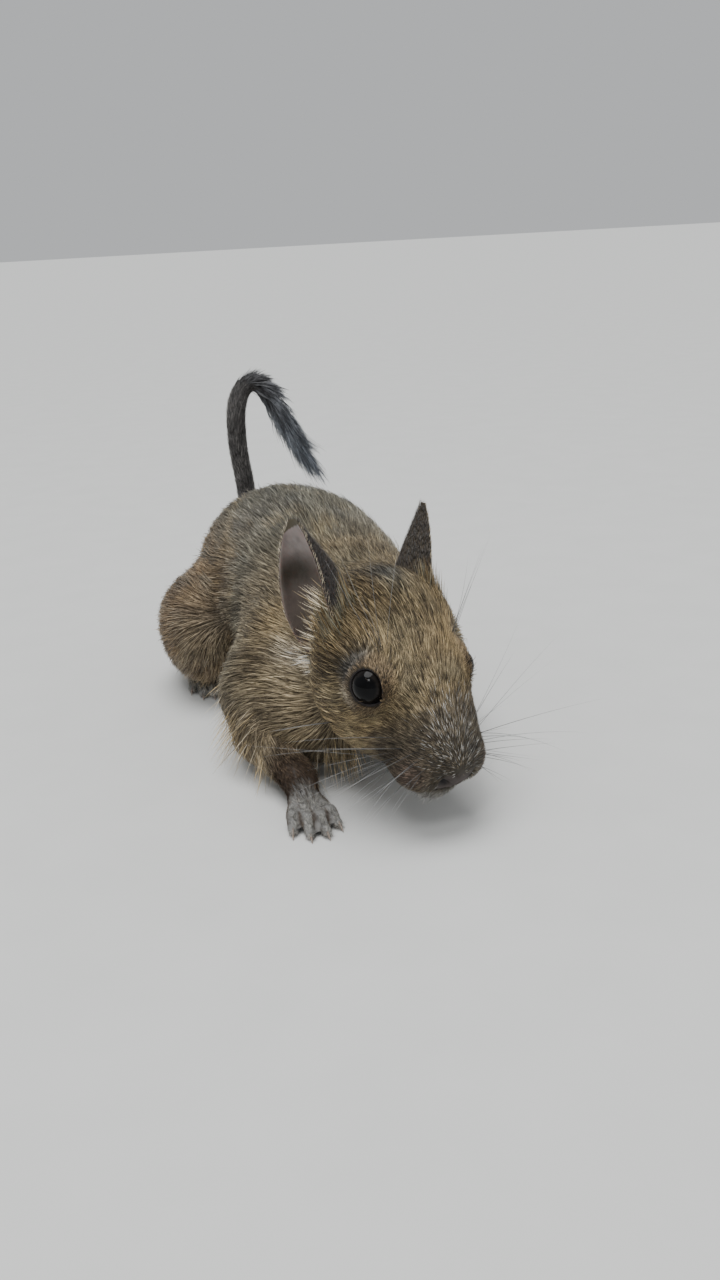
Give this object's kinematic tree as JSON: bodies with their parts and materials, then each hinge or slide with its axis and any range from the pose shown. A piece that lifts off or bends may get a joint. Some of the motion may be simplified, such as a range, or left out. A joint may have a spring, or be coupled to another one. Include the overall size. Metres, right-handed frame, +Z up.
{
  "type": "degu figure",
  "caption": "Life-size degu crouching on its four feet, head turned and lowered, ears raised and tail curled up behind, in named solids from ears and eyes to feet and tail.",
  "frame": {"origin": "bottom centre of the whole animal's box, on the floor that the feet stand on", "axes": "+X to the animal's left, +Y from its nose to its tail, +Z up"},
  "size_m": [0.0674, 0.1491, 0.0759],
  "materials": {
    "coat": "short agouti fur, yellow-brown banded with black",
    "tail_coat": "short dark grey fur ending in a black brush",
    "ear_skin": "thin grey-pink skin with fine short hair",
    "paw_skin": "pale grey skin with fine white hair",
    "eye": "wet black gloss"
  },
  "bodies": {
    "root": {"head": "coat", "neck": "coat", "torso": "coat", "foreleg_left": "coat", "foreleg_right": "coat", "hindleg_left": "coat", "hindleg_right": "coat", "forefoot_left": "paw_skin", "forefoot_right": "paw_skin", "hindfoot_left": "paw_skin", "hindfoot_right": "paw_skin", "ear_left": "ear_skin", "ear_right": "ear_skin", "eye_left": "eye", "eye_right": "eye", "tail_root": "tail_coat", "tail_arch": "tail_coat", "tail_brush": "tail_coat"}
  },
  "joints": []
}
